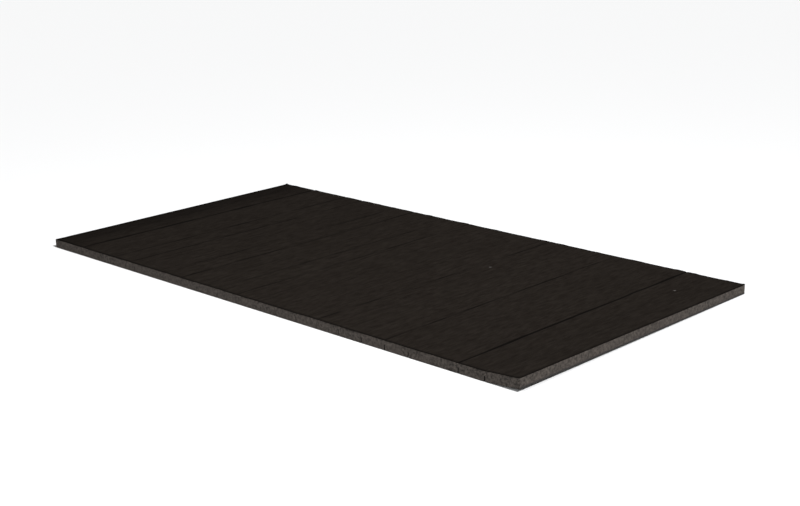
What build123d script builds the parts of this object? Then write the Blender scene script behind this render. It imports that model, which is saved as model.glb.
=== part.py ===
from build123d import *
from math import atan, degrees
import os

# Foldable seedling heat mat: closed-cell foam slats under a bonded black cover, with a
# serpentine heating cable beneath the cover. Millimetres, +Z up, origin at the middle of the
# underside. +X runs along the mat, away from the end that holds the junction box.

os.makedirs("parts", exist_ok=True)

# Driving dimensions
mat_width = 600.0
first_slat = 40.0
slat_pitch = 50.0
last_slat = 65.0
slat_count = 23
foam_thickness = 16.0
cover_thickness = 1.0
slit_depth = 9.6
slit_width = 0.4
crease_depth = 0.5
cable_radius = 1.2
cable_z = 14.2
lead_radius = 1.6
lead_z = 12.4
foam_gap = 0.3

# Where things stand along the mat
mat_length = first_slat + (slat_count - 2) * slat_pitch + last_slat
left_end = -mat_length / 2
right_end = mat_length / 2
slits = [left_end + first_slat + slat_pitch * n for n in range(slat_count - 1)]
edges = [left_end] + slits + [right_end]
first_heated, last_heated = 3, 21
creases = (slits[first_heated - 2], slits[last_heated - 1])

# The cable runs across the mat and turns round near its long edges
turn_radius = slat_pitch / 4
run_end = 257.5
groove_width = 2 * (cable_radius + foam_gap)
groove_floor = cable_z - cable_radius - foam_gap
lead_groove_width = 2 * (lead_radius + foam_gap)
lead_groove_floor = lead_z - lead_radius - foam_gap

# Splice sleeve and cable end cap, which lie just under the cover
sleeve_radius = 2.8
sleeve_z = 13.0
sleeve_length = 28.0
cap_length = 20.0
cap_rounding = 1.0
socket_depth = 6.0
socket_gap = 0.1
sleeve_y = -238.0

# Junction box, let into the foam of the first slat
box_left = left_end + 2.5
box_right = left_end + 35.0
box_back = -180.0
box_front = -270.0
box_bottom = 1.0
box_top = 15.7
box_wall = 1.8
box_roof = 1.6
lid_thickness = 1.6
lid_chamfer = 0.4
lid_lip = 1.0
lip_wall = 1.0
lip_gap = 0.2
box_x = (box_left + box_right) / 2
box_y = (box_front + box_back) / 2
box_length = box_back - box_front
box_width = box_right - box_left
shell_bottom = box_bottom + lid_thickness
roof_under = box_top - box_roof
corner_radius = 2.5
inner_radius = 1.6
boss_radius = 2.6
boss_inset = 3.8
boss_gap = 0.2
boss_bottom = shell_bottom + lid_lip + boss_gap

# Screws of the box and the clamp. A cross slot is its length, width and depth.
screw_radius = 1.3
screw_hole_gap = 0.05
through_gap = 0.1
hole_room = 0.3
lid_screw_length = 9.0
lid_head_radius = 2.4
lid_head_height = 1.1
lid_head_recess = 0.1
lid_screw_slot = (3.0, 0.6, 0.8)
clamp_head_radius = 2.2
clamp_head_height = 1.4
clamp_screw_length = 6.0
clamp_screw_slot = (2.6, 0.6, 0.7)

# Cord inlet
inlet_y = -252.0
inlet_z = 9.0
bore_radius = 3.6
bush_length = 12.0
bush_left = left_end + 1.0
bush_flange = 1.5
bush_neck_radius = 4.6
bush_flange_radius = 6.0
bush_wall_gap = 0.05
bush_barb = 0.5

# Cord clamp and terminals
clamp_y = -228.0
clamp_bar = (22.0, 8.0, 2.0)
clamp_bar_top = 6.8
clamp_corner_radius = 1.5
clamp_hollow_radius = 3.7
clamp_hollow_z = clamp_bar_top + 2.9
post_offset = 7.5
post_radius = 2.4
terminal_y = -208.0
terminal_size = (18.0, 16.0, 7.7)
terminal_bottom = 6.1
pole_pitch = 6.0
poles = [box_x + pole_pitch * n for n in (-1, 0, 1)]
terminal_back = terminal_y + terminal_size[1] / 2
terminal_screw_radius = 1.5
terminal_screw_recess = 0.2
terminal_slot_width = 0.5
terminal_slot_depth = 0.6
terminal_screw_offset = 4.0
terminal_well = 2.0
barrier_slot = (0.8, 3.0)
wire_entry_depth = 2.5
wire_entry_gap = 0.2
cord_wire_z = 10.0
cord_entry_radius = 1.4
cutout_y = -193.0
cutout_z = 8.0
cutout_radius = 2.0
cutout_length = 9.0
wire_radius = 0.5
wire_bend = 1.2
wire_root = 0.5
core_radius = 0.7
core_spread = 0.75
core_straight = 0.5
jacket_end = -190.0

# The cold lead turns twice between the box and the splice
lead_crossing_y = -120.0
lead_turn_x = slits[1] - turn_radius


def finish(block, name):
    """Name a finished piece and write it."""
    block.part.label = name
    export_step(block.part, f"parts/{name}.step")


def heater_route(left, goes_on):
    """Cable route over one heated slat, from the slit on its left. It goes on over the slit on
    its right, or ends in the cap."""
    with BuildLine(Plane.XY.offset(cable_z)) as route:
        CenterArc((left, -run_end), turn_radius, -90, 90)
        Line((left + turn_radius, -run_end), (left + turn_radius, run_end))
        CenterArc((left + 2 * turn_radius, run_end), turn_radius, 180, -180)
        if goes_on:
            Line((left + 3 * turn_radius, run_end), (left + 3 * turn_radius, -run_end))
            CenterArc((left + slat_pitch, -run_end), turn_radius, 180, 90)
        else:
            Line((left + 3 * turn_radius, run_end), (left + 3 * turn_radius, sleeve_y))
    return route.wires()[0]


def tail_route():
    """Cable route on the second slat, from the crease to the splice sleeve."""
    with BuildLine(Plane.XY.offset(cable_z)) as route:
        CenterArc((slits[1], -run_end), turn_radius, 270, -90)
        Line((lead_turn_x, -run_end), (lead_turn_x, sleeve_y))
    return route.wires()[0]


def lead_route_first():
    """Cold lead on the first slat, from the junction box to the first slit."""
    with BuildLine(Plane.XY.offset(lead_z)) as route:
        Line((box_x, jacket_end), (box_x, lead_crossing_y - turn_radius))
        CenterArc((box_x + turn_radius, lead_crossing_y - turn_radius), turn_radius, 180, -90)
        Line((box_x + turn_radius, lead_crossing_y), (slits[0], lead_crossing_y))
    return route.wires()[0]


def lead_route_second():
    """Cold lead on the second slat, from the first slit into the splice sleeve."""
    turn_x = lead_turn_x - turn_radius
    with BuildLine(Plane.XY.offset(lead_z)) as route:
        Line((slits[0], lead_crossing_y), (turn_x, lead_crossing_y))
        CenterArc((turn_x, lead_crossing_y - turn_radius), turn_radius, 90, -90)
        Line(
            (lead_turn_x, lead_crossing_y - turn_radius),
            (lead_turn_x, sleeve_y + sleeve_length - socket_depth),
        )
    return route.wires()[0]


def core_route(start, face, depth, z):
    """Route of a core: two equal arcs along -Y to a terminal's face, then straight in."""
    across, along = face[0] - start[0], start[1] - face[1]
    side = 1 if across > 0 else -1
    radius = (across**2 + along**2) / (4 * abs(across))
    turn = side * 2 * degrees(atan(abs(across) / along))
    with BuildLine(Plane.XY.offset(z)) as route:
        CenterArc((start[0] + side * radius, start[1]), radius, 90 + 90 * side, turn)
        CenterArc((face[0] - side * radius, face[1]), radius, 90 - 90 * side + turn, -turn)
        Line(face, (face[0], face[1] - depth))
    return route.wires()[0]


def groove(route, width, floor):
    """A square channel along a route, cut down from the top of the foam."""
    with BuildPart() as channel:
        with BuildSketch(Plane.XY.offset(floor)):
            trace(route.moved(Location((0, 0, -route.position_at(0).Z))).edges(), line_width=width)
        extrude(amount=foam_thickness - floor)
    return channel.part


def cable_in_bond(route):
    """Heating cable along a route, with the bonding bead that holds it to the cover."""
    along = route.tangent_at(0)
    section_plane = Plane(route.position_at(0), x_dir=Vector(0, 0, 1).cross(along), z_dir=along)
    bead_height = foam_thickness - cable_z
    with BuildPart() as cable:
        with BuildSketch(section_plane):
            Circle(cable_radius)
            Rectangle(2 * cable_radius, bead_height, align=(Align.CENTER, Align.MIN))
        sweep(path=route)
    return cable.part


def round_tail(x, y, direction):
    """The bare round end of a cable, which goes into a socket along Y."""
    with BuildPart() as tail:
        with BuildSketch(Plane((x, y, cable_z), x_dir=(1, 0, 0), z_dir=(0, direction, 0))):
            Circle(cable_radius)
        extrude(amount=socket_depth)
    return tail.part


def pocket(x, y, length):
    """Room in the foam for a sleeve or cap that lies along Y."""
    with BuildPart() as room:
        with BuildSketch(Plane.XY.offset(sleeve_z - sleeve_radius - foam_gap)):
            with Locations((x, y + length / 2)):
                Rectangle(2 * (sleeve_radius + foam_gap), length + 2 * foam_gap)
        extrude(amount=foam_thickness - sleeve_z + sleeve_radius + foam_gap)
    return room.part


# Foam slats. Each is cut free of the next from below, and meets it above the slit.
for n in range(1, slat_count + 1):
    left, right = edges[n - 1], edges[n]
    left_gap = slit_width / 2 if n > 1 else 0
    right_gap = slit_width / 2 if n < slat_count else 0
    with BuildPart() as slat:
        with BuildSketch():
            with Locations(((left + left_gap + right - right_gap) / 2, 0)):
                Rectangle(right - left - left_gap - right_gap, mat_width)
        extrude(amount=slit_depth)
        with BuildSketch(Plane.XY.offset(slit_depth)):
            with Locations(((left + right) / 2, 0)):
                Rectangle(right - left, mat_width)
        extrude(amount=foam_thickness - slit_depth)
        if n == 1:
            with BuildSketch():
                with Locations(((left + box_right + foam_gap) / 2, box_y)):
                    Rectangle(box_right + foam_gap - left, box_length + 2 * foam_gap)
            extrude(amount=foam_thickness, mode=Mode.SUBTRACT)
            add(groove(lead_route_first(), lead_groove_width, lead_groove_floor), mode=Mode.SUBTRACT)
        if n == 2:
            add(groove(lead_route_second(), lead_groove_width, lead_groove_floor), mode=Mode.SUBTRACT)
            add(groove(tail_route(), groove_width, groove_floor), mode=Mode.SUBTRACT)
            add(pocket(lead_turn_x, sleeve_y, sleeve_length), mode=Mode.SUBTRACT)
        if first_heated <= n <= last_heated:
            route = heater_route(left, n < last_heated)
            add(groove(route, groove_width, groove_floor), mode=Mode.SUBTRACT)
        if n == last_heated:
            add(pocket(left + 3 * turn_radius, sleeve_y - cap_length, cap_length), mode=Mode.SUBTRACT)
    finish(slat, f"foam_slat_{n:02d}")

# Cover strips, scored at both creases. Over the heated slats they carry the cable beneath.
for n in range(1, slat_count + 1):
    left, right = edges[n - 1], edges[n]
    with BuildPart() as cover:
        with BuildSketch(Plane.XY.offset(foam_thickness)):
            with Locations(((left + right) / 2, 0)):
                Rectangle(right - left, mat_width)
        extrude(amount=cover_thickness)
        top_ends = cover.edges().filter_by(Axis.Y).group_by(Axis.Z)[-1].sort_by(Axis.X)
        if left in creases:
            chamfer(top_ends[0], crease_depth)
        if right in creases:
            chamfer(top_ends[-1], crease_depth)
        if n == first_heated - 1:
            add(cable_in_bond(tail_route()))
            add(round_tail(lead_turn_x, sleeve_y, 1))
        if first_heated <= n <= last_heated:
            add(cable_in_bond(heater_route(left, n < last_heated)))
        if n == last_heated:
            add(round_tail(left + 3 * turn_radius, sleeve_y, -1))
    heated = first_heated <= n <= last_heated
    finish(cover, f"heater_cover_{n:02d}" if heated else f"end_cover_{n:02d}")

# Cold lead: a jacket on each of the first two slats, and its two cores inside the box
with BuildPart() as cold_lead_01:
    route = lead_route_first()
    with BuildSketch(Plane(route.position_at(0), z_dir=route.tangent_at(0))):
        Circle(lead_radius)
    sweep(path=route)
    for side in (-1, 1):
        core_start = (box_x + side * core_spread, jacket_end)
        core_face = (box_x + side * pole_pitch, terminal_back + core_straight)
        core_path = core_route(core_start, core_face, wire_entry_depth, lead_z)
        with BuildSketch(Plane(core_path.position_at(0), z_dir=core_path.tangent_at(0))):
            Circle(core_radius)
        sweep(path=core_path)
finish(cold_lead_01, "cold_lead_01")

with BuildPart() as cold_lead_02:
    route = lead_route_second()
    with BuildSketch(Plane(route.position_at(0), z_dir=route.tangent_at(0))):
        Circle(lead_radius)
    sweep(path=route)
finish(cold_lead_02, "cold_lead_02")

# Splice sleeve: the cable goes into its near end and the cold lead into its far end
with BuildPart() as splice_sleeve:
    with BuildSketch(Plane((lead_turn_x, sleeve_y, sleeve_z), x_dir=(1, 0, 0), z_dir=(0, 1, 0))):
        Circle(sleeve_radius)
    extrude(amount=sleeve_length)
    with BuildSketch(Plane((lead_turn_x, sleeve_y, cable_z), x_dir=(1, 0, 0), z_dir=(0, 1, 0))):
        Circle(cable_radius + socket_gap)
    extrude(amount=socket_depth + socket_gap, mode=Mode.SUBTRACT)
    far_end = (lead_turn_x, sleeve_y + sleeve_length, lead_z)
    with BuildSketch(Plane(far_end, x_dir=(1, 0, 0), z_dir=(0, -1, 0))):
        Circle(lead_radius + socket_gap)
    extrude(amount=socket_depth + socket_gap, mode=Mode.SUBTRACT)
finish(splice_sleeve, "splice_sleeve")

# End cap on the far end of the twin-core cable
cap_x = slits[last_heated - 2] + 3 * turn_radius
with BuildPart() as cable_end_cap:
    with BuildSketch(Plane((cap_x, sleeve_y, sleeve_z), x_dir=(1, 0, 0), z_dir=(0, -1, 0))):
        Circle(sleeve_radius)
    extrude(amount=cap_length)
    with BuildSketch(Plane((cap_x, sleeve_y, cable_z), x_dir=(1, 0, 0), z_dir=(0, -1, 0))):
        Circle(cable_radius + socket_gap)
    extrude(amount=socket_depth + socket_gap, mode=Mode.SUBTRACT)
    fillet(cable_end_cap.faces().sort_by(Axis.Y)[0].edges(), cap_rounding)
finish(cable_end_cap, "cable_end_cap")

# Junction box shell: closed above, open below, with bosses and clamp posts under its roof
boss_spots = [
    (box_x + sx * (box_width / 2 - boss_inset), box_y + sy * (box_length / 2 - boss_inset))
    for sx in (-1, 1)
    for sy in (-1, 1)
]
post_spots = [(box_x - post_offset, clamp_y), (box_x + post_offset, clamp_y)]
with BuildPart() as junction_box_shell:
    with BuildSketch(Plane.XY.offset(shell_bottom)):
        with Locations((box_x, box_y)):
            RectangleRounded(box_width, box_length, corner_radius)
    extrude(amount=box_top - shell_bottom)
    with BuildSketch(Plane.XY.offset(shell_bottom)):
        with Locations((box_x, box_y)):
            RectangleRounded(box_width - 2 * box_wall, box_length - 2 * box_wall, inner_radius)
    extrude(amount=roof_under - shell_bottom, mode=Mode.SUBTRACT)
    with BuildSketch(Plane.XY.offset(boss_bottom)):
        with Locations(*boss_spots):
            Circle(boss_radius)
    extrude(until=Until.NEXT)
    with BuildSketch(Plane.XY.offset(clamp_bar_top)):
        with Locations(*post_spots):
            Circle(post_radius)
    extrude(until=Until.NEXT)
    with BuildSketch(Plane.XY.offset(shell_bottom)):
        with Locations(*boss_spots):
            Circle(screw_radius + screw_hole_gap)
    extrude(amount=lid_screw_length, mode=Mode.SUBTRACT)
    with BuildSketch(Plane.XY.offset(clamp_bar_top)):
        with Locations(*post_spots):
            Circle(screw_radius + screw_hole_gap)
    extrude(amount=clamp_screw_length - clamp_bar[2] + hole_room, mode=Mode.SUBTRACT)
    with BuildSketch(Plane((box_left, inlet_y, inlet_z), x_dir=(0, 1, 0), z_dir=(1, 0, 0))):
        Circle(bush_neck_radius)
    extrude(amount=box_wall, mode=Mode.SUBTRACT)
    with BuildSketch(Plane((box_x, box_back, lead_z), x_dir=(1, 0, 0), z_dir=(0, -1, 0))):
        Circle(lead_radius + socket_gap)
    extrude(amount=box_wall, mode=Mode.SUBTRACT)
finish(junction_box_shell, "junction_box_shell")

# Lid, from below, with a locating lip inside the walls and countersunk screw holes
with BuildPart() as junction_box_lid:
    with BuildSketch(Plane.XY.offset(box_bottom)):
        with Locations((box_x, box_y)):
            RectangleRounded(box_width, box_length, corner_radius)
    extrude(amount=lid_thickness)
    chamfer(junction_box_lid.faces().sort_by(Axis.Z)[0].edges(), lid_chamfer)
    lip_width = box_width - 2 * (box_wall + lip_gap)
    lip_length = box_length - 2 * (box_wall + lip_gap)
    with BuildSketch(Plane.XY.offset(shell_bottom)):
        with Locations((box_x, box_y)):
            RectangleRounded(lip_width, lip_length, inner_radius)
            Rectangle(lip_width - 2 * lip_wall, lip_length - 2 * lip_wall, mode=Mode.SUBTRACT)
    extrude(amount=lid_lip)
    with Locations(*[Location((x, y, box_bottom), (1, 0, 0), 180) for x, y in boss_spots]):
        CounterSinkHole(
            screw_radius + through_gap, lid_head_radius + through_gap, lid_thickness + lid_lip
        )
finish(junction_box_lid, "junction_box_lid")

with BuildPart() as box_lid_screws:
    for x, y in boss_spots:
        with BuildSketch(Plane((x, y, box_bottom), x_dir=(1, 0, 0), z_dir=(0, -1, 0))):
            with BuildLine():
                Polyline(
                    (0, lid_head_recess),
                    (lid_head_radius, lid_head_recess),
                    (screw_radius, lid_head_recess + lid_head_height),
                    (screw_radius, lid_screw_length),
                    (0, lid_screw_length),
                    close=True,
                )
            make_face()
        revolve(axis=Axis((x, y, 0), (0, 0, 1)))
        with BuildSketch(Plane.XY.offset(box_bottom)):
            with Locations((x, y)):
                Rectangle(lid_screw_slot[0], lid_screw_slot[1])
                Rectangle(lid_screw_slot[1], lid_screw_slot[0])
        extrude(amount=lid_screw_slot[2], mode=Mode.SUBTRACT)
finish(box_lid_screws, "box_lid_screws")

# Inlet bush: flanged outside the wall, necked through it, and a plain tube inside
with BuildPart() as inlet_bush:
    with BuildSketch(Plane((bush_left, inlet_y, inlet_z), x_dir=(1, 0, 0), z_dir=(0, -1, 0))):
        with BuildLine():
            Polyline(
                (0, bore_radius),
                (0, bush_flange_radius),
                (bush_flange, bush_flange_radius),
                (bush_flange, bush_neck_radius - bush_wall_gap),
                (bush_flange + box_wall + bush_wall_gap, bush_neck_radius - bush_wall_gap),
                (bush_flange + box_wall + bush_wall_gap, bush_neck_radius + bush_barb),
                (bush_length, bush_neck_radius),
                (bush_length, bore_radius),
                close=True,
            )
        make_face()
    revolve(axis=Axis((bush_left, inlet_y, inlet_z), (1, 0, 0)))
finish(inlet_bush, "inlet_bush")

# Cord clamp bar, hung under the two posts, with a hollow for the cord
with BuildPart() as cord_clamp:
    with BuildSketch(Plane.XY.offset(clamp_bar_top - clamp_bar[2])):
        with Locations((box_x, clamp_y)):
            RectangleRounded(clamp_bar[0], clamp_bar[1], clamp_corner_radius)
        with Locations(*post_spots):
            Circle(screw_radius + through_gap, mode=Mode.SUBTRACT)
    extrude(amount=clamp_bar[2])
    hollow_start = (box_x, clamp_y - clamp_bar[1] / 2, clamp_hollow_z)
    with BuildSketch(Plane(hollow_start, x_dir=(1, 0, 0), z_dir=(0, 1, 0))):
        Circle(clamp_hollow_radius)
    extrude(amount=clamp_bar[1], mode=Mode.SUBTRACT)
finish(cord_clamp, "cord_clamp")

with BuildPart() as clamp_screws:
    with BuildSketch(Plane.XY.offset(clamp_bar_top - clamp_bar[2])):
        with Locations(*post_spots):
            Circle(screw_radius)
    extrude(amount=clamp_screw_length)
    with BuildSketch(Plane.XY.offset(clamp_bar_top - clamp_bar[2] - clamp_head_height)):
        with Locations(*post_spots):
            Circle(clamp_head_radius)
    extrude(amount=clamp_head_height)
    with BuildSketch(Plane.XY.offset(clamp_bar_top - clamp_bar[2] - clamp_head_height)):
        with Locations(*post_spots):
            Rectangle(clamp_screw_slot[0], clamp_screw_slot[1])
            Rectangle(clamp_screw_slot[1], clamp_screw_slot[0])
    extrude(amount=clamp_screw_slot[2], mode=Mode.SUBTRACT)
finish(clamp_screws, "clamp_screws")

# Three-pole terminal block under the roof of the box
screw_spots = [(x, terminal_y + s * terminal_screw_offset) for x in poles for s in (-1, 1)]
with BuildPart() as terminal_block:
    with BuildSketch(Plane.XY.offset(terminal_bottom)):
        with Locations((box_x, terminal_y)):
            Rectangle(terminal_size[0], terminal_size[1])
            with Locations((-pole_pitch / 2, 0), (pole_pitch / 2, 0)):
                for end in (-1, 1):
                    with Locations((0, end * terminal_size[1] / 2)):
                        Rectangle(barrier_slot[0], barrier_slot[1], mode=Mode.SUBTRACT)
    extrude(amount=terminal_size[2])
    with BuildSketch(Plane.XY.offset(terminal_bottom)):
        with Locations(*screw_spots):
            Circle(terminal_screw_radius + wire_entry_gap)
    extrude(amount=terminal_well, mode=Mode.SUBTRACT)
    front_face = (0, terminal_y - terminal_size[1] / 2, 0)
    with BuildSketch(Plane(front_face, x_dir=(1, 0, 0), z_dir=(0, -1, 0))):
        with Locations(*[(x, cord_wire_z) for x in poles]):
            Circle(cord_entry_radius)
    extrude(amount=-wire_entry_depth - hole_room, mode=Mode.SUBTRACT)
    with BuildSketch(Plane((0, terminal_back, 0), x_dir=(1, 0, 0), z_dir=(0, -1, 0))):
        with Locations((poles[0], lead_z), (poles[2], lead_z)):
            Circle(core_radius + wire_entry_gap)
        with Locations((poles[0], cutout_z), (poles[2], cutout_z)):
            Circle(wire_radius + wire_entry_gap)
    extrude(amount=wire_entry_depth + hole_room, mode=Mode.SUBTRACT)
finish(terminal_block, "terminal_block")

with BuildPart() as terminal_screws:
    with BuildSketch(Plane.XY.offset(terminal_bottom + terminal_screw_recess)):
        with Locations(*screw_spots):
            Circle(terminal_screw_radius)
    extrude(amount=terminal_well - 2 * terminal_screw_recess)
    with BuildSketch(Plane.XY.offset(terminal_bottom + terminal_screw_recess)):
        with Locations(*screw_spots):
            Rectangle(2 * terminal_screw_radius, terminal_slot_width)
    extrude(amount=terminal_slot_depth, mode=Mode.SUBTRACT)
finish(terminal_screws, "terminal_screws")

# Thermal cutout: a sealed can between two outer poles, on bent wire ends
with BuildPart() as thermal_cutout:
    can_start = (box_x - cutout_length / 2, cutout_y, cutout_z)
    with BuildSketch(Plane(can_start, x_dir=(0, 1, 0), z_dir=(1, 0, 0))):
        Circle(cutout_radius)
    extrude(amount=cutout_length)
    for side in (-1, 1):
        can_end = box_x + side * (cutout_length / 2 - wire_root)
        bend_x = box_x + side * (pole_pitch - wire_bend)
        with BuildLine(Plane.XY.offset(cutout_z)) as wire_line:
            Line((can_end, cutout_y), (bend_x, cutout_y))
            CenterArc((bend_x, cutout_y - wire_bend), wire_bend, 90, -90 * side)
            Line(
                (box_x + side * pole_pitch, cutout_y - wire_bend),
                (box_x + side * pole_pitch, terminal_back - wire_entry_depth),
            )
        wire_path = wire_line.wires()[0]
        with BuildSketch(Plane(wire_path.position_at(0), z_dir=wire_path.tangent_at(0))):
            Circle(wire_radius)
        sweep(path=wire_path)
finish(thermal_cutout, "thermal_cutout")
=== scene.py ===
import itertools
import math

import bmesh
import bpy
import numpy as np
from mathutils import Matrix, Vector


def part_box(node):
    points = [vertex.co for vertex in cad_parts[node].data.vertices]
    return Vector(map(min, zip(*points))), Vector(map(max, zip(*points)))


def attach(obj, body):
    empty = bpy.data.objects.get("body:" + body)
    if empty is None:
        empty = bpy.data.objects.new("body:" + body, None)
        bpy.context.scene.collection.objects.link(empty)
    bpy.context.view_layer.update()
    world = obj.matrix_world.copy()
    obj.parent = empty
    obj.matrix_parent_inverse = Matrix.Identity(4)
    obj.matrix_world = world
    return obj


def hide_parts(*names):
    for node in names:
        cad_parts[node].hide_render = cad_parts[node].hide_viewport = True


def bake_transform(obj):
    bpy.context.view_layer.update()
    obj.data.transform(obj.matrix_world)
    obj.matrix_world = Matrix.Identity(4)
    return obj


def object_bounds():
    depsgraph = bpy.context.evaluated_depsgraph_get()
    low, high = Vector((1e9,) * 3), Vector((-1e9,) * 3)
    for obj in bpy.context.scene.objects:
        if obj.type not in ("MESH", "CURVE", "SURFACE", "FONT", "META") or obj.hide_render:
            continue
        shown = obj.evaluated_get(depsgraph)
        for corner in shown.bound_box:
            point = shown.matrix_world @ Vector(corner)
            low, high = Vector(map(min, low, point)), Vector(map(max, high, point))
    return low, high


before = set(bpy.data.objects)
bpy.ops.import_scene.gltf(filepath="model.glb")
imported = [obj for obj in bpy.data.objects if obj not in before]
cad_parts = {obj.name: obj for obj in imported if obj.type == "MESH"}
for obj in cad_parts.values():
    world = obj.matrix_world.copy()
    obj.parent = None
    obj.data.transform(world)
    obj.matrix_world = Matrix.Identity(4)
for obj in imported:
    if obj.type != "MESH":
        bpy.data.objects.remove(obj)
cad_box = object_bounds()

# A seedling heat mat: foam that is slit from below into slats, under a ribbed cover that joins
# them, with the heating cable between the two.
# Lengths of the mat are in millimetres, and meshes are scaled to metres when they are made.
MM = 0.001
NEARLY = 0.01  # lengths that differ by less are the same
CUT, SKIN = 0, 1  # the foam's two materials, as numbers of a piece's material slots

# ---------------------------------------------------------------- the frame's own places
LEFT, RIGHT = cad_box[0].x / MM, cad_box[1].x / MM
HALF_WIDTH = cad_box[1].y / MM
COVER_TOP = cad_box[1].z / MM
FOAM_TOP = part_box("foam_slat_12")[1].z / MM
SLIT_COUNT = 22
SLITS = [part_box(f"foam_slat_{n:02d}")[1].x / MM for n in range(1, SLIT_COUNT + 1)]
EDGES = [LEFT] + SLITS + [RIGHT]
SLATS = len(EDGES) - 1
MIDDLES = [(EDGES[n] + EDGES[n + 1]) / 2 for n in range(SLATS)]
FIRST_HEATED, LAST_HEATED = 3, 21  # the slats that the heating cable winds over
BOX_LOW, BOX_HIGH = (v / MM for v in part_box("junction_box_shell"))

# ---------------------------------------------------------------- the foam's own details
SLIT_TOP = 9.6  # the slits are cut from below up to here
BEND_HALF = 3.0  # the foam and cover above a slit bend over this far each side
FOAM_STEP = 1.25  # between its columns of points along the mat
CAP_STEP = 1.5  # and across it, in the ends that show
# The heights of the foam's rows of points, below the slits' tops and above them
LOW_ROWS = (0.0, 0.5, 1.5, 2.8, 4.2, 5.6, 7.0, 8.3, SLIT_TOP)
HIGH_ROWS = (SLIT_TOP, 10.9, 12.2, 13.5, 14.8, FOAM_TOP)
FOAM_ROUGHNESS = 0.16  # how deep the cut faces are torn
POCKET_GAP = 0.3  # between the junction box and its notch
LEAST_STEP = 0.3  # no column of points is nearer to the junction box's notch
# How far the foot of each slat is rounded up beside a slit, and at the mat's two ends
SLIT_ROUNDING, END_ROUNDING = 0.7, 0.2
ROUNDING_COLUMNS = (0, 0.25, 0.6, 1.2)  # where the rounding has columns of points
FOOT_INSET = 0.4  # how far in the lowest points of the long sides are
SKIN_SHADOW_ROWS = 3  # the dark moulded skin turns up this many rows at the ends' foot, as a painted shadow line
# How wide each slit stands open where it meets the floor
SLIT_WIDTHS = {
    1: 0.4, 12: 1.0, 13: 1.2, 14: 1.3, 16: 1.3, 17: 2.0, 18: 2.0, 19: 2.1, 20: 0.5, 21: 2.1, 22: 1.6
}
USUAL_SLIT_WIDTH = 0.7
NEAR_LIFT = 5.3  # the last slat has taken a set, and its near corner stands off the floor

# ---------------------------------------------------------------- the cover's own details
RIB_PITCH = 2.5
# Each rib's columns of points, as shares of the pitch, and how far down the valley each is
RIB_PHASES = (0.0, 0.1, 0.28, 0.5, 0.72, 0.9)
RIB_SHAPE = (1.0, 0.6, 0.14, 0.0, 0.14, 0.6)
WIDENING = 2.0  # how much wider a deep valley is than a shallow one
MOST_RIBS = 600  # more than there are, so that each rib's random draws are its own
CLOSED_VALLEY = (0.24, 0.34)  # the depths of valleys
OPEN_SHARE, OPENING = 0.2, (0.3, 1.0)  # how many valleys have opened, and how much deeper they are
RIGHT_CLOSING = 0.75  # how much less they have opened towards the mat's right end
OPEN_STRETCH = 38.0  # about how long the open stretches are
DEEPEST_VALLEY = 0.85
COVER_ROWS = 46
EDGE_ROWS = (0, 0.3, 2.5)  # where the long edges have rows of points of their own
RIM = 6.0  # how far in from its edges the cover is pressed down and has painted shade
# how dark the painted shade at the rim is
RIM_SHADE = 0.8
LEFT_SHADES = ((0.34, 120.0), (0.1, 700.0))  # painted shade on its left end, which gets less light, and how far in
END_DROP, END_DROP_REACH = 0.5, 2.0  # how far the cover is rounded down at its two ends
EDGE_DROP = 0.22  # and at its long edges
THINNEST = 0.02  # the cover's least thickness
DIP = 0.06  # how unevenly the cover lies
SWAY, SWAY_ROOM = 1.3, 10.0  # how far the ribs wander along the mat, except near its ends
RIPPLE = 0.6  # how far the cover's long edges wander
EAR, EAR_REACH = 1.2, 7.0  # how far the cover has sprung up at its two far corners
CREASE_DEPTH = 0.95
CREASE_HALVES = {2: 3.6, 21: 2.7}  # half the width of the two creases, above those slits
CREASE_WANDER = 0.35  # the share by which their widths wander
CREASE_POWER = 0.4  # below 1, it makes their sides steep and their bottoms flat
# Slits that have printed through the cover as a faint line, and how strongly
SHOW_THROUGH = {4: 1.6, 5: 1.8, 7: 1.2, 8: 1.6, 10: 1.1, 11: 1.6, 15: 1.3, 18: 1.3}
USUAL_SHOW_THROUGH = 0.25
LINE_DEPTH, LINE_HALF = 0.55, 1.6  # the line, and the hollow that it lies in
HOLLOW_DEPTH, HOLLOW_HALF = 0.1, 3.0
# Bits of pale lint that lie on the cover
LINT = ((507.0, 195.0), (185.0, 100.0))


# ---------------------------------------------------------------- camera, light and floor
def make_camera():
    """A long lens, low over the near right corner."""
    data = bpy.data.cameras.new("camera")
    data.sensor_width = 36.0
    data.lens = 64.44
    camera = bpy.data.objects.new("camera", data)
    bpy.context.scene.collection.objects.link(camera)
    place = (1.7615, -1.7604, 0.7462)
    heading, elevation, roll = (math.radians(a) for a in (44.035, 16.057, -1.04))
    camera.matrix_world = (
        Matrix.Translation(place)
        @ Matrix.Rotation(heading, 4, "Z")
        @ Matrix.Rotation(math.pi / 2 - elevation, 4, "X")
        @ Matrix.Rotation(roll, 4, "Z")
    )
    bpy.context.scene.camera = camera


def put_light(data, place, aim):
    light = bpy.data.objects.new(data.name, data)
    bpy.context.scene.collection.objects.link(light)
    light.location = place
    light.rotation_mode = "QUATERNION"
    light.rotation_quaternion = (Vector(aim) - Vector(place)).to_track_quat("-Z", "Y")


def softbox(name, place, aim, size, power):
    data = bpy.data.lights.new(name, "AREA")
    data.shape = "RECTANGLE"
    data.size, data.size_y = size
    data.energy = power
    put_light(data, place, aim)


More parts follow.
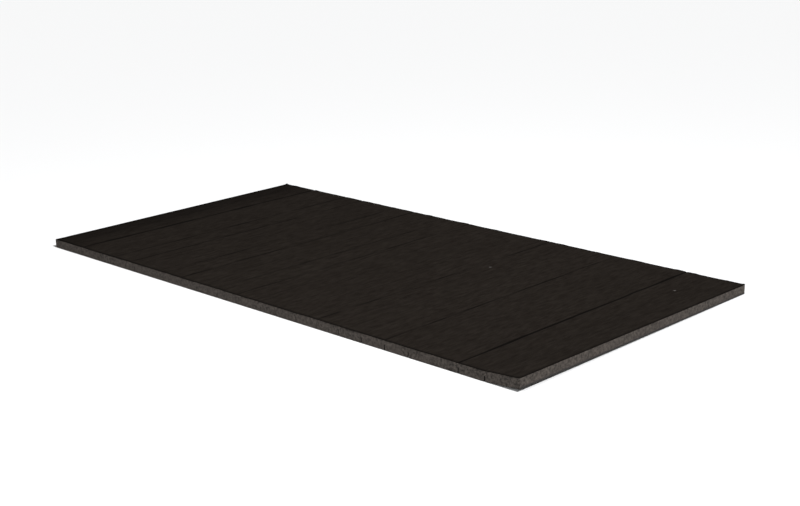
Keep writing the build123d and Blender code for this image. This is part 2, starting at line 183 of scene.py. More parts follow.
def make_studio():
    """A white room with a key light from the right. The softboxes reach the mat's right end
    better than its left, and wash out the faint shadows near it."""
    scene = bpy.context.scene
    scene.view_settings.view_transform = "Standard"
    scene.view_settings.look = "None"
    world = bpy.data.worlds.new("studio")
    world.use_nodes = True
    background = world.node_tree.nodes["Background"]
    background.inputs["Color"].default_value = (1.0, 0.985, 0.965, 1)
    background.inputs["Strength"].default_value = 0.15
    scene.world = world
    key = bpy.data.lights.new("key", "SUN")
    key.energy = 4.4
    key.angle = math.radians(6)
    put_light(key, (1.0, -0.14, 1.0), (0, 0, 0))
    softbox("overhead", (0.4, 0.0, 1.3), (0.4, 0, 0), (1.0, 1.0), 4)
    softbox("front_fill", (0.35, -1.3, 0.6), (0.3, 0, 0), (0.9, 0.7), 5.5)


def stage_piece(name, **inputs):
    """A part of the studio with a plain material, and an empty mesh to fill."""
    material = bpy.data.materials.new(name)
    material.use_nodes = True
    shader = material.node_tree.nodes["Principled BSDF"]
    for socket, value in inputs.items():
        shader.inputs[socket.replace("_", " ")].default_value = value
    mesh = bpy.data.meshes.new(name)
    mesh.materials.append(material)
    made = bpy.data.objects.new(name, mesh)
    bpy.context.scene.collection.objects.link(made)
    return made


def make_floor():
    """A white floor, just below the mat."""
    white = (0.84, 0.845, 0.85, 1)
    floor = stage_piece("floor", Base_Color=white, Roughness=0.9, Specular_IOR_Level=0.1)
    floor.location.z = -0.0002
    reach = 400.0
    corners = [(-reach, -reach, 0), (reach, -reach, 0), (reach, reach, 0), (-reach, reach, 0)]
    floor.data.from_pydata(corners, [], [(0, 1, 2, 3)])


def make_backdrop():
    """A white dome round the floor. Only the camera sees it, so it lights nothing."""
    dome = stage_piece(
        "backdrop",
        Base_Color=(0, 0, 0, 1),
        Specular_IOR_Level=0.0,
        Emission_Color=(1.0, 1.0, 0.99, 1),
        Emission_Strength=0.95,
    )
    dome.active_material.cycles.emission_sampling = "NONE"
    radius = 25.0  # metres, which is within the reach of every view's camera
    work = bmesh.new()
    bmesh.ops.create_uvsphere(work, u_segments=48, v_segments=24, radius=radius)
    work.to_mesh(dome.data)
    work.free()
    dome.visible_diffuse = False
    dome.visible_glossy = False
    dome.visible_shadow = False


# ---------------------------------------------------------------- materials
class Nodes:
    """A material being built. Its calls add nodes and return their output sockets. Patterns
    follow the rest attribute of the meshes made here, or else the object's coordinates."""

    def __init__(self, name, rest=True):
        self.material = bpy.data.materials.new(name)
        self.material.use_nodes = True
        self.tree = self.material.node_tree
        self.shader = self.tree.nodes["Principled BSDF"]
        if rest:
            self.place = self.node("ShaderNodeAttribute", attribute_name="rest").outputs["Vector"]
        else:
            self.place = self.node("ShaderNodeTexCoord").outputs["Object"]

    def node(self, kind, inputs=(), **settings):
        made = self.tree.nodes.new(kind)
        for name, value in settings.items():
            setattr(made, name, value)
        for name, value in dict(inputs).items():
            if isinstance(value, bpy.types.NodeSocket):
                self.tree.links.new(value, made.inputs[name])
            else:
                made.inputs[name].default_value = value
        return made

    def stretched(self, x, y, z, place=None):
        """The place, scaled on each axis."""
        inputs = {"Vector": place or self.place, "Scale": (x, y, z)}
        return self.node("ShaderNodeMapping", inputs).outputs["Vector"]

    def noise(self, size, detail=2.0, rough=0.5, place=None):
        """Noise with features of about that size in millimetres, from 0 to 1."""
        inputs = {"Vector": place or self.place, "Scale": 1 / (size * MM)}
        inputs |= {"Detail": detail, "Roughness": rough}
        return self.node("ShaderNodeTexNoise", inputs).outputs["Fac"]

    def cells(self, size):
        """How far each point is from the middle of its cell, in cells of about that size."""
        inputs = {"Vector": self.place, "Scale": 1 / (size * MM)}
        return self.node("ShaderNodeTexVoronoi", inputs).outputs["Distance"]

    def math(self, operation, a, b):
        return self.node("ShaderNodeMath", {0: a, 1: b}, operation=operation).outputs[0]

    def spread(self, value, low, high, to_low=0.0, to_high=1.0):
        """value between low and high becomes to_low to to_high, and stays within them."""
        inputs = {"Value": value, "From Min": low, "From Max": high}
        inputs |= {"To Min": to_low, "To Max": to_high}
        return self.node("ShaderNodeMapRange", inputs).outputs["Result"]

    def mix(self, share, a, b):
        """Colour a where share is 0, turning into colour b where it is 1."""
        made = self.node("ShaderNodeMix", data_type="RGBA")
        for socket, value in ((made.inputs[0], share), (made.inputs[6], a), (made.inputs[7], b)):
            if isinstance(value, bpy.types.NodeSocket):
                self.tree.links.new(value, socket)
            else:
                socket.default_value = value
        return made.outputs[2]

    def bump(self, height, depth, after=None):
        """A bump of that depth in millimetres."""
        inputs = {"Height": height, "Distance": depth * MM, "Strength": 1.0}
        if after:
            inputs["Normal"] = after
        return self.node("ShaderNodeBump", inputs).outputs["Normal"]

    def finish(self, color, roughness, normal, **constants):
        for name, value in (("Base Color", color), ("Roughness", roughness), ("Normal", normal)):
            self.tree.links.new(value, self.shader.inputs[name])
        for name, value in constants.items():
            self.shader.inputs[name.replace("_", " ")].default_value = value
        return self.material


def cover_material():
    """Black ribbed sheet: streaked along the ribs, with a little lint, and painted shade in each
    groove, at the rim and at the left end.
    """
    dark, light = (0.0086, 0.0065, 0.0051, 1), (0.0183, 0.0148, 0.0122, 1)
    painted_shade_color = (0.0016, 0.0012, 0.0009, 1)
    lint_color = (0.12, 0.114, 0.108, 1)
    m = Nodes("cover")
    drift = m.math("MULTIPLY", m.math("SUBTRACT", m.noise(40.0), 0.5), 6.0 * MM)
    aside = m.node("ShaderNodeCombineXYZ", {"X": drift}).outputs["Vector"]
    place = m.node("ShaderNodeVectorMath", {0: m.place, 1: aside}, operation="ADD").outputs["Vector"]
    fine = m.noise(2.2, place=m.stretched(1, 0.1, 1, place))
    broad = m.noise(6.0, 3.0, 0.7, m.stretched(1, 0.24, 1, place))
    blotch = m.noise(60.0, 3.0)
    streaks = m.math("ADD", m.math("MULTIPLY", fine, 0.45), m.math("MULTIPLY", broad, 0.55))
    color = m.mix(m.spread(streaks, 0.36, 0.64), dark, light)
    color = m.mix(m.spread(blotch, 0.35, 0.65, 0.0, 0.25), color, dark)
    # the groove attribute is painted shade: in each groove, at the rim and at the left end
    groove = m.node("ShaderNodeAttribute", attribute_name="groove").outputs["Fac"]
    color = m.mix(m.spread(groove, 0.04, 0.8, 0.0, 0.94), color, painted_shade_color)
    lint = 0.0
    for x, y in LINT:
        inputs = {0: m.place, 1: (x * MM, y * MM, COVER_TOP * MM)}
        away = m.node("ShaderNodeVectorMath", inputs, operation="DISTANCE").outputs["Value"]
        lint = m.math("MAXIMUM", lint, m.spread(away, 1.2 * MM, 3.2 * MM, 1.0, 0.0))
    fluff = m.math("MULTIPLY", lint, m.spread(m.noise(0.9), 0.4, 0.6, 0.3, 1.0))
    color = m.mix(fluff, color, lint_color)
    normal = m.bump(fine, 0.05, m.bump(m.noise(0.35), 0.05))
    roughness = m.spread(streaks, 0.3, 0.7, 0.92, 0.80)
    return m.finish(color, roughness, normal, Specular_IOR_Level=0.04)


def foam_material():
    """Cut closed-cell foam: dark grey, mottled, with open cells that have painted shade in their pits."""
    dark, light = (0.010, 0.0084, 0.0072, 1), (0.076, 0.0648, 0.0561, 1)
    patch_color = (0.056, 0.0455, 0.0395, 1)
    painted_pit_shade = (0.014, 0.012, 0.011, 1)
    m = Nodes("foam_cut")
    mottle = m.noise(4.4, 5.0, 0.74)
    patch = m.noise(45.0, 3.0)
    color = m.mix(m.spread(mottle, 0.37, 0.63), dark, light)
    color = m.mix(m.spread(patch, 0.35, 0.65, 0.0, 0.3), color, patch_color)
    raised = m.spread(m.cells(0.9), 0.12, 0.5)
    # painted shade in the pits of the open cells
    pit = m.math("SUBTRACT", 1.0, raised)
    color = m.mix(m.math("MULTIPLY", pit, 0.55), color, painted_pit_shade)
    normal = m.bump(raised, 0.16, m.bump(m.cells(0.38), 0.07))
    roughness = m.spread(mottle, 0.3, 0.7, 0.96, 0.86)
    return m.finish(color, roughness, normal, Specular_IOR_Level=0.2)


def foam_skin_material():
    """The foam's moulded underside: a finer, darker skin with scuffs."""
    dark, light = (0.011, 0.0100, 0.0092, 1), (0.022, 0.0196, 0.018, 1)
    scuff_color = (0.075, 0.069, 0.064, 1)
    m = Nodes("foam_skin")
    cloud = m.noise(18.0, 4.0, 0.6)
    color = m.mix(m.spread(cloud, 0.3, 0.7), dark, light)
    scuff = m.noise(2.2, 3.0, 0.7, m.stretched(1, 0.12, 1))
    color = m.mix(m.spread(scuff, 0.62, 0.78, 0.0, 0.5), color, scuff_color)
    normal = m.bump(m.noise(0.8), 0.10, m.bump(scuff, 0.05))
    roughness = m.spread(cloud, 0.3, 0.7, 0.72, 0.88)
    return m.finish(color, roughness, normal, Specular_IOR_Level=0.3)


def plastic_material(name, low, high, grain, roughness, rest=False):
    """Moulded plastic or rubber with a fine spark texture."""
    m = Nodes(name, rest)
    cloud = m.noise(9.0, 3.0)
    color = m.mix(m.spread(cloud, 0.3, 0.7), (*low, 1), (*high, 1))
    spark = m.noise(grain, 3.0, 0.6)
    matt = m.spread(spark, 0.3, 0.7, roughness - 0.08, roughness + 0.08)
    return m.finish(color, matt, m.bump(spark, 0.04))


def metal_material(name, low, high, roughness):
    """Plated or turned metal with fine marks and a little tarnish."""
    m = Nodes(name, rest=False)
    tarnish = m.noise(3.0, 3.0)
    color = m.mix(m.spread(tarnish, 0.35, 0.7), (*high, 1), (*low, 1))
    marks = m.noise(0.25, place=m.stretched(1, 1, 6))
    matt = m.spread(marks, 0.3, 0.7, roughness - 0.08, roughness + 0.1)
    return m.finish(color, matt, m.bump(marks, 0.01), Metallic=1.0)


# ---------------------------------------------------------------- shapes
def value_noise(points, size, seed):
    """Smooth noise from -1 to 1 at points in millimetres, in cells of that size. Each corner of a
    cell gets its value from a hash of its place and the seed."""
    scaled = np.asarray(points, float) / size
    cell = np.floor(scaled).astype(np.int64)
    part = scaled - cell
    part = part * part * (3 - 2 * part)
    total = np.zeros(scaled.shape[:-1])
    for corner in itertools.product((0, 1), repeat=scaled.shape[-1]):
        mixed = np.full(total.shape, seed * 7919 + 17, np.int64)
        weight = np.ones(total.shape)
        for axis, step in enumerate(corner):
            mixed = (mixed ^ (cell[..., axis] + step)) * 668265263 % 2147483647
            mixed = (mixed ^ (mixed >> 13)) * 374761393 % 2147483647
            weight = weight * (part[..., axis] if step else 1 - part[..., axis])
        total += weight * (mixed % 65536) / 32767.5 - weight
    return total


def smooth(t):
    """A smooth step from 0 to 1."""
    t = np.clip(t, 0, 1)
    return t * t * (3 - 2 * t)


def turned_up(points, share):
    """Points turned up by the set that the last slat has taken, about the top of its slit."""
    hinge = SLITS[-1]
    near = (HALF_WIDTH - points[:, 1]) / (2 * HALF_WIDTH)
    angle = NEAR_LIFT * near / (RIGHT - hinge) * share
    along, down = points[:, 0] - hinge, points[:, 2] - COVER_TOP
    bent = points.copy()
    bent[:, 0] = hinge + along * np.cos(angle) - down * np.sin(angle)
    bent[:, 2] = COVER_TOP + along * np.sin(angle) + down * np.cos(angle)
    return bent


def curl(points):
    """The set in a piece that bends over the last slit."""
    return turned_up(points, smooth((points[:, 0] - SLITS[-1] + BEND_HALF) / (2 * BEND_HALF)))


def curl_whole(points):
    """The set in a piece that lies past the last slit."""
    return turned_up(points, 1.0)


def span(n):
    """From where to where the pieces over slit n reach, at most half a slat each side."""
    start = MIDDLES[n - 1] if n > 1 else LEFT
    end = MIDDLES[n] if n + 1 < SLATS else RIGHT
    return start, end


class Shell:
    """The points and faces of one piece while it is made, in millimetres."""

    def __init__(self):
        self.points, self.faces, self.slots, self.painted_shades = [], [], [], []

    def add(self, points, groove=0.0):
        """Adds points of any array shape, and returns their numbers in that shape. groove is
        how much painted shade each gets, as if down in a groove, from 0 to 1."""
        points = np.asarray(points, float)
        first = sum(len(p) for p in self.points)
        self.points.append(points.reshape(-1, 3))
        self.painted_shades.append(np.broadcast_to(groove, points.shape[:-1]).ravel())
        return first + np.arange(points.size // 3).reshape(points.shape[:-1])

    def quads(self, grid, slot=0):
        """Adds the faces between a grid of points."""
        corners = (grid[:-1, :-1], grid[1:, :-1], grid[1:, 1:], grid[:-1, 1:])
        for face in zip(*(corner.flat for corner in corners)):
            self.face(face, slot)

    def face(self, corners, slot=0):
        self.faces.append(tuple(int(c) for c in corners))
        self.slots.append(slot)

    def piece(self, name, materials, bend=None, sharp_angle=40):
        """Makes the object. The rest attribute keeps each point's place before any bend, and
        edges where faces meet at that angle or more stay sharp."""
        points = np.concatenate(self.points)
        shown = bend(points) if bend else points
        mesh = bpy.data.meshes.new(name)
        mesh.from_pydata((shown * MM).tolist(), [], self.faces)
        rest = mesh.attributes.new("rest", "FLOAT_VECTOR", "POINT")
        rest.data.foreach_set("vector", (points * MM).astype(np.float32).ravel())
        # groove: the painted shade that darkens the cover's colour
        groove = mesh.attributes.new("groove", "FLOAT", "POINT")
        groove.data.foreach_set("value", np.concatenate(self.painted_shades).astype(np.float32))
        for material in materials:
            mesh.materials.append(material)
        mesh.polygons.foreach_set("material_index", self.slots)
        work = bmesh.new()
        work.from_mesh(mesh)
        bmesh.ops.recalc_face_normals(work, faces=work.faces)
        for face in work.faces:
            face.smooth = True
        for edge in work.edges:
            edge.smooth = edge.calc_face_angle(0.0) < math.radians(sharp_angle)
        work.to_mesh(mesh)
        work.free()
        made = bpy.data.objects.new(name, mesh)
        bpy.context.scene.collection.objects.link(made)
        return made


def slat_columns(n):
    """Where slat n's foam has points along the mat, closer together at its rounded edges."""
    left, right = EDGES[n - 1], EDGES[n]
    left_gap = SLIT_WIDTHS.get(n - 1, USUAL_SLIT_WIDTH) / 2 if n > 1 else 0
    right_gap = SLIT_WIDTHS.get(n, USUAL_SLIT_WIDTH) / 2 if n < SLATS else 0
    inner = np.arange(left + 2 * FOAM_STEP, right - 2 * FOAM_STEP + NEARLY, FOAM_STEP)
    start = [left + left_gap + r for r in ROUNDING_COLUMNS]
    end = [right - right_gap - r for r in reversed(ROUNDING_COLUMNS)]
    return np.array([*start, *inner, *end])


def rough_cut(points, outward):
    """Foam points pushed in a little where the knife has torn the cells."""
    coarse = value_noise(points, size=3.1, seed=1)
    fine = value_noise(points, size=1.3, seed=2)
    depth = FOAM_ROUGHNESS * (0.5 + 0.3 * coarse + 0.4 * fine)
    return points - depth[..., None] * np.asarray(outward, float)


def foot_lift(xs, ends):
    """How far a run's foot is rounded up near its two ends. ends says which of them show."""
    lift = 0.0
    for reach, shows in ((xs - xs[0], ends[0]), (xs[-1] - xs, ends[1])):
        height = END_ROUNDING if shows else SLIT_ROUNDING
        lift = lift + height * np.clip(1 - reach / ROUNDING_COLUMNS[-1], 0, 1) ** 2
    return lift


def foam_end(shell, x, y_span, zs, columns, outward, skin_shadow_rows):
    """An end that shows, between two columns of points. Its lowest rows are the dark moulded
    skin, as a painted shadow line along its foot. Returns the numbers of the points that it
    adds."""
    inner = np.arange(y_span[0] + CAP_STEP, y_span[1] - CAP_STEP / 2, CAP_STEP)
    y_grid, z_grid = np.meshgrid(inner, zs, indexing="ij")
    points = np.stack([np.full_like(y_grid, x), y_grid, z_grid], -1)
    added = shell.add(rough_cut(points, (outward, 0, 0)))
    grid = np.concatenate([columns[0][None], added, columns[1][None]])
    shell.quads(grid[:, :skin_shadow_rows + 1], SKIN)
    shell.quads(grid[:, skin_shadow_rows:], CUT)
    return added


def foam_part(shell, xs, y_span, zs, low, outer=(True, True), ends=(False, False)):
    """One closed run of foam between two long faces. outer says which of them are cut faces
    that show, and ends which of its two ends show. A low run has a rounded foot, and moulded
    skin below it and in the slits."""
    xs, zs = np.asarray(xs, float), np.asarray(zs, float)
    x_grid, z_grid = np.meshgrid(xs, zs, indexing="ij")
    if low:
        z_grid = z_grid + foot_lift(xs, ends)[:, None] * (1 - z_grid / zs[-1])
    sides = []
    for y, sign, shows in zip(y_span, (-1, 1), outer):
        points = np.stack([x_grid, np.full_like(x_grid, y), z_grid], -1)
        if low and shows:
            points[:, 0, 1] -= sign * FOOT_INSET
        sides.append(shell.add(rough_cut(points, (0, sign, 0)) if shows else points))
    front, back = sides
    shell.quads(front)
    shell.quads(back)
    last = len(xs) - 1
    tops, bottoms = {0: [], last: []}, {0: [], last: []}
    underside, skin_shadow_rows = (SKIN, SKIN_SHADOW_ROWS) if low else (CUT, 0)
    for i, outward, shows in ((0, -1, ends[0]), (last, 1, ends[1])):
        if shows:
            columns = front[i], back[i]
            added = foam_end(shell, xs[i], y_span, z_grid[i], columns, outward, skin_shadow_rows)
            tops[i], bottoms[i] = list(added[:, -1]), list(added[:, 0])
        else:
            shell.face([*front[i], *back[i][::-1]], underside)
    for row, extra, skin in ((-1, tops, CUT), (0, bottoms, underside)):
        for i in range(last):
            before = extra[0][::-1] if i == 0 else []
            after = extra[last] if i + 1 == last else []
            front_edge = front[i][row], front[i + 1][row]
            back_edge = back[i + 1][row], back[i][row]
            shell.face([*front_edge, *after, *back_edge, *before], skin)


def foam_run(n, xs, zs, low):
    """The shell of a run of foam across the mat's whole width. n is the slat that it ends in.
    A run from the mat's left end goes round the junction box's notch, in three parts."""
    shell = Shell()
    if xs[0] > LEFT:
        foam_part(shell, xs, (-HALF_WIDTH, HALF_WIDTH), zs, low, ends=(False, n == SLATS))
        return shell
    notch_x = BOX_HIGH.x + POCKET_GAP
    notch_front, notch_back = BOX_LOW.y - POCKET_GAP, BOX_HIGH.y + POCKET_GAP
    beside = np.array([notch_x, *xs[xs > notch_x + LEAST_STEP]])
    ends = (True, False)
    foam_part(shell, xs, (-HALF_WIDTH, notch_front), zs, low, outer=(True, False), ends=ends)
    foam_part(shell, beside, (notch_front, notch_back), zs, low, outer=(False, False))
    foam_part(shell, xs, (notch_back, HALF_WIDTH), zs, low, outer=(False, True), ends=ends)
    return shell


def make_blocks(cut, skin):
    """Each slat's foam below the tops of the slits."""
    for n in range(1, SLATS + 1):
        shell = foam_run(n, slat_columns(n), LOW_ROWS, low=True)
        bend = curl_whole if n == SLATS else None
        block = shell.piece(f"foam_block_{n:02d}", [cut, skin], bend)
        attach(block, f"slat_{n:02d}")
        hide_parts(f"foam_slat_{n:02d}")


def make_webs(cut):
    """The foam above each slit, up to the middles of the slats beside it."""
    for n in range(1, SLATS):
        here, there = slat_columns(n), slat_columns(n + 1)
        start, end = span(n)
        xs = np.concatenate([here[here > start - NEARLY], there[there < end + NEARLY]])
        shell = foam_run(n + 1, xs, HIGH_ROWS, low=False)
        bend = curl if n + 1 == SLATS else None
        web = shell.piece(f"foam_web_{n:02d}", [cut], bend)
        over_slit(web)
        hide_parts(f"foam_slat_{n:02d}", f"foam_slat_{n + 1:02d}")


def over_slit(piece):
    """Bakes the piece's place into its mesh."""
    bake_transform(piece)


def valley_depths(numbers, ys):
    """How deep each rib valley is along its length. Most are nearly closed, and some, more of
    them towards the left end, have stretches that have opened into a dark line."""
    chance = np.random.default_rng(7)
    closed = chance.uniform(*CLOSED_VALLEY, MOST_RIBS)[numbers]
    opens = chance.random(MOST_RIBS) < OPEN_SHARE
    opening = np.where(opens, chance.uniform(*OPENING, MOST_RIBS), 0.0)[numbers]
    rightness = smooth((LEFT + numbers * RIB_PITCH) / RIGHT + 0.3)
    opening = opening * (1 - RIGHT_CLOSING * rightness)
    own_place = numbers * 37.3
    spots = np.stack(np.broadcast_arrays(own_place[:, None], ys[None, :]), -1)
    stretches = np.clip(0.3 + 1.9 * value_noise(spots, size=OPEN_STRETCH, seed=3), 0, 1)
    return np.clip(closed[:, None] + opening[:, None] * stretches, 0, DEEPEST_VALLEY)


def crease_drop(columns, ys):
    """How deep the cover is pressed in above the slits: creased above two of them, and above
    the others in a faint line with a flat bottom. Both wander in strength along the slit."""
    drop = np.zeros((len(columns), len(ys)))
    for n, slit in enumerate(SLITS, 1):
        away = np.abs(columns - slit)[:, None]
        own_place = np.full_like(ys, n * 51.0)
        wander = value_noise(np.stack([own_place, ys], -1), size=45.0, seed=4)
        if n in CREASE_HALVES:
            half = CREASE_HALVES[n] * (1 + CREASE_WANDER * wander)
            groove = CREASE_DEPTH * np.clip(1 - away / half, 0, 1) ** CREASE_POWER
        else:
            strength = SHOW_THROUGH.get(n, USUAL_SHOW_THROUGH)
            line = LINE_DEPTH * np.clip(1.3 - away / LINE_HALF, 0, 1)
            hollow = HOLLOW_DEPTH * np.exp(-((away / HOLLOW_HALF) ** 2))
            groove = (line + hollow) * strength * np.clip(0.7 + 0.8 * wander, 0.1, 1.2)
        drop = np.maximum(drop, groove)
    return drop


def cover_rows():
    """Where the cover has rows of points across the mat, closer together at its long edges."""
    near_edge = np.array(EDGE_ROWS) - HALF_WIDTH
    inner = np.linspace(-HALF_WIDTH + RIM, HALF_WIDTH - RIM, COVER_ROWS)
    return np.concatenate([near_edge, inner, -near_edge[::-1]])


def ribs(x_from, x_to, ys):
    """The columns of points between two rib valleys, and how far down a valley each point is."""
    first, last = (round((x - LEFT) / RIB_PITCH) for x in (x_from, x_to))
    numbers = np.arange(first, last + 1)
    depths = valley_depths(numbers, ys)
    columns, drops = [], []
    for i, number in enumerate(numbers):
        for phase, share in zip(RIB_PHASES, RIB_SHAPE):
            if number == last and phase:
                break
            columns.append(LEFT + (number + phase) * RIB_PITCH)
            depth = depths[i if phase < 0.5 else min(i + 1, len(numbers) - 1)]
            drops.append(np.minimum(share * (1 + WIDENING * depth), 1) * depth)
    return np.array(columns), np.array(drops)


def cover_shade(columns, drop, from_edge):
    """How much painted shade each point gets: in a groove, at the rim and near the left end, 0 to 1."""
    rim = RIM_SHADE * np.clip(1 - from_edge / RIM, 0, 1)
    left = sum(shade * (1 - smooth((columns - LEFT) / reach)) for shade, reach in LEFT_SHADES)
    return np.clip(np.maximum(drop / CREASE_DEPTH, rim) + left[:, None], 0, 1)


def cover_points(x_from, x_to):
    """The cover's ribbed upper surface between two rib valleys, as a grid of points, and how
    much painted shade each point gets."""
    ys = cover_rows()
    columns, drop = ribs(x_from, x_to, ys)
    drop = np.maximum(drop, crease_drop(columns, ys))
    from_end = np.minimum(columns - LEFT, RIGHT - columns)[:, None]
    from_side = HALF_WIDTH - np.abs(ys)[None, :]
    groove = cover_shade(columns, drop, np.minimum(from_end, from_side))
    drop = drop + END_DROP * np.clip(1 - from_end / END_DROP_REACH, 0, 1) ** 2
    x_grid, y_grid = np.meshgrid(columns, ys, indexing="ij")
    sway = SWAY * value_noise(np.stack([x_grid, y_grid * 0.2], -1), size=10.0, seed=5)
    dip = DIP * (1 + value_noise(np.stack([x_grid, y_grid], -1), size=60.0, seed=6))
    z_grid = np.maximum(COVER_TOP - drop - dip, FOAM_TOP + THINNEST)
    z_grid[:, [0, -1]] = np.maximum(z_grid[:, [0, -1]] - EDGE_DROP, FOAM_TOP + THINNEST)
    own_edge = np.sign(y_grid) * 40.0
    wave = value_noise(np.stack([x_grid, own_edge], -1), size=16.0, seed=8)
    rippled = np.clip(1 - from_side / RIM, 0, 1)
    z_grid = z_grid + RIPPLE * np.clip(wave, 0, 1) * rippled
    y_grid = y_grid + RIPPLE * wave * rippled ** 4
    for end in (LEFT, RIGHT):
        near = np.hypot(x_grid - end, y_grid - HALF_WIDTH)
        z_grid = z_grid + EAR * np.clip(1 - near / EAR_REACH, 0, 1)
    x_grid = x_grid + sway * np.clip(from_end / SWAY_ROOM, 0, 1)
    return np.stack([x_grid, y_grid, z_grid], -1), groove


def cover_node(n):
    """The frame's name for the cover on slat n."""
    kind = "heater" if FIRST_HEATED <= n <= LAST_HEATED else "end"
    return f"{kind}_cover_{n:02d}"


def make_cover(material):
    """The cover, as one strip over each slit, up to the middles of the slats beside it."""
    for n in range(1, SLATS):
        start, end = span(n)
        top, groove = cover_points(start, end)
        shell = Shell()
        upper = shell.add(top, groove)
        under = top[:, [0, -1]].copy()
        under[..., 2] = FOAM_TOP
        lower = shell.add(under)
        shell.quads(upper)
        shell.quads(lower)
        for side in (0, -1):
            shell.quads(np.stack([lower[:, side], upper[:, side]], 1))
        for i in (0, -1):
            shell.face([lower[i, 0], *upper[i], lower[i, -1]])
        bend = curl if n + 1 == SLATS else None
        strip = shell.piece(f"cover_strip_{n:02d}", [material], bend, sharp_angle=75)
        over_slit(strip)
        for slat in (n, n + 1):
            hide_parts(cover_node(slat))


# ---------------------------------------------------------------- the cables inside
CABLE_RADIUS, CABLE_Z = 1.2, 14.2
TURN = 12.5  # the radius of the cables' turns
ARC_STEP = 10  # degrees
RUN_END = 257.5  # the heating cable's straight runs end this far from the mat's middle
SLEEVE_Y, SLEEVE_LENGTH, SOCKET = -238.0, 28.0, 6.0
LEAD_RADIUS, LEAD_Z = 1.6, 12.4
LEAD_CROSSING = -120.0  # the cold lead runs along the mat at this Y
JACKET_END, CORE_END = -190.0, -202.0
CORE_RADIUS = 0.7
CORE_SPREAD, POLE_PITCH = 0.75, 6.0  # half the cores' distance in the jacket, and at the terminals
CORE_SPREADING = 0.8  # the share of the cores' length over which they spread
TUBE_SIDES = 12
TUBE_ANGLE = 60  # the tubes' sides meet at less, and their ends at more


def arc(x, y, start, turn):
    """Points on an arc of the cables' turn radius, angles in degrees."""
    angles = np.radians(start + turn * np.linspace(0, 1, abs(turn) // ARC_STEP + 1))
    return np.stack([x + TURN * np.cos(angles), y + TURN * np.sin(angles)], -1)


def tube(shell, route, z, radius, along_x=False):
    """A round cable along a level route. Its first end is square to X if along_x."""
    along = np.gradient(route, axis=0)
    along /= np.linalg.norm(along, axis=1)[:, None]
    if along_x:
        along[0] = (1, 0)
    aside = np.stack([-along[:, 1], along[:, 0]], -1)
    around = np.radians(np.linspace(0, 360, TUBE_SIDES, endpoint=False))
    rings = np.empty((len(route), len(around), 3))
    rings[..., :2] = route[:, None] + radius * np.cos(around)[:, None] * aside[:, None]
    rings[..., 2] = z + radius * np.sin(around)
    numbers = shell.add(rings)
    shell.quads(np.concatenate([numbers, numbers[:, :1]], 1))
    shell.face(numbers[0])
    shell.face(numbers[-1])


def cable_route(n):
    """The heating cable's centreline over slat n, seen from above."""
    if n == FIRST_HEATED - 1:
        tail = arc(SLITS[n - 1], -RUN_END, 270, -90)
        return np.concatenate([tail, [(tail[-1][0], SLEEVE_Y + SOCKET)]])
    left = EDGES[n - 1]
    route = [arc(left, -RUN_END, -90, 90), arc(left + 2 * TURN, RUN_END, 180, -180)]
    if n < LAST_HEATED:
        route.append(arc(left + 4 * TURN, -RUN_END, 180, 90))
    else:
        route.append([(left + 3 * TURN, SLEEVE_Y - SOCKET)])
    return np.concatenate(route)


def make_cable(material):
    """The heating cable, in one piece for each slat that it is bonded to."""
    for n in range(FIRST_HEATED - 1, LAST_HEATED + 1):
        shell = Shell()
        tube(shell, cable_route(n), CABLE_Z, CABLE_RADIUS, n >= FIRST_HEATED)
        cable = shell.piece(f"heating_cable_{n:02d}", [material], sharp_angle=TUBE_ANGLE)
        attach(cable, f"slat_{n:02d}")
        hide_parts(cover_node(n))


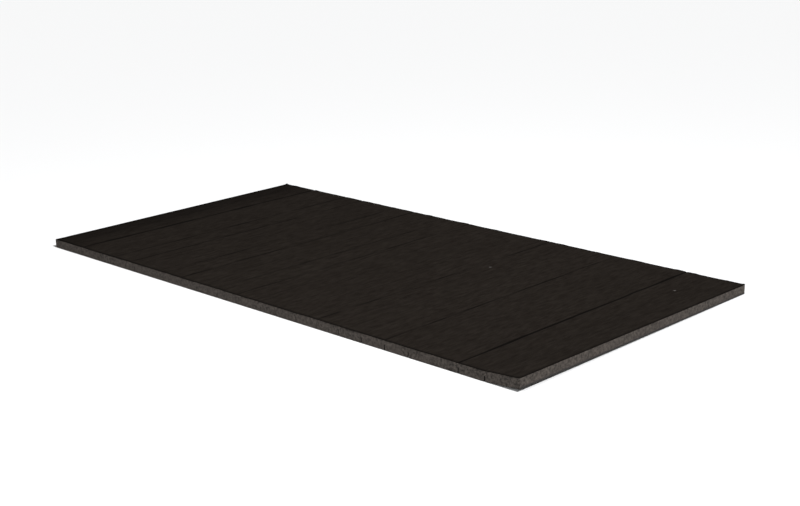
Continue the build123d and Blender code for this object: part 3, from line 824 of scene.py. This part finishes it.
def make_lead(material):
    """The cold lead, from two cores in the junction box to the splice sleeve. Its points lie close
    together where it crosses the first slit."""
    start_x, end_x = (BOX_LOW.x + BOX_HIGH.x) / 2, SLITS[1] - TURN
    over = SLITS[0] + np.linspace(-BEND_HALF, BEND_HALF, 9)
    shell = Shell()
    route = [
        [(start_x, JACKET_END)],
        arc(start_x + TURN, LEAD_CROSSING - TURN, 180, -90),
        np.stack([over, np.full_like(over, LEAD_CROSSING)], -1),
        arc(end_x - TURN, LEAD_CROSSING - TURN, 90, -90),
        [(end_x, SLEEVE_Y + SLEEVE_LENGTH - SOCKET)],
    ]
    tube(shell, np.concatenate(route), LEAD_Z, LEAD_RADIUS)
    share = np.linspace(0, 1, 13)
    for side in (-1, 1):
        aside = CORE_SPREAD + (POLE_PITCH - CORE_SPREAD) * smooth(share / CORE_SPREADING)
        ys = JACKET_END + (CORE_END - JACKET_END) * share
        tube(shell, np.stack([start_x + side * aside, ys], -1), LEAD_Z, CORE_RADIUS)
    lead = shell.piece("cold_lead", [material], sharp_angle=TUBE_ANGLE)
    over_slit(lead)
    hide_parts("cold_lead_01", "cold_lead_02")


# ---------------------------------------------------------------- hardware from the frame
def finish_hardware():
    """Materials for the CAD pieces that stay."""
    box_plastic = plastic_material("box_plastic", (0.020, 0.020, 0.021), (0.032, 0.032, 0.034), 0.5, 0.55)
    rubber = plastic_material("bush_rubber", (0.012, 0.012, 0.012), (0.022, 0.021, 0.020), 0.8, 0.75)
    shrink = plastic_material("heat_shrink", (0.012, 0.012, 0.013), (0.022, 0.022, 0.024), 1.5, 0.42)
    cream = plastic_material("terminal_plastic", (0.62, 0.59, 0.50), (0.72, 0.70, 0.62), 0.6, 0.5)
    zinc = metal_material("zinc_plate", (0.42, 0.42, 0.44), (0.62, 0.62, 0.64), 0.34)
    brass = metal_material("brass", (0.48, 0.33, 0.12), (0.74, 0.56, 0.26), 0.32)
    can = metal_material("cutout_can", (0.50, 0.50, 0.51), (0.70, 0.70, 0.72), 0.36)
    finishes = {
        "junction_box_shell": box_plastic,
        "junction_box_lid": box_plastic,
        "cord_clamp": box_plastic,
        "inlet_bush": rubber,
        "splice_sleeve": shrink,
        "cable_end_cap": shrink,
        "terminal_block": cream,
        "box_lid_screws": zinc,
        "clamp_screws": zinc,
        "terminal_screws": brass,
        "thermal_cutout": can,
    }
    for node, material in finishes.items():
        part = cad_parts[node]
        part.data.materials.clear()
        part.data.materials.append(material)


make_camera()
make_studio()
make_floor()
make_backdrop()
foam = foam_material()
make_blocks(foam, foam_skin_material())
make_webs(foam)
make_cover(cover_material())
jacket = plastic_material("cable_jacket", (0.012, 0.011, 0.010), (0.020, 0.018, 0.017), 1.2, 0.6, rest=True)
make_cable(jacket)
sheath = plastic_material("lead_jacket", (0.028, 0.028, 0.028), (0.045, 0.045, 0.045), 0.9, 0.5, rest=True)
make_lead(sheath)
finish_hardware()
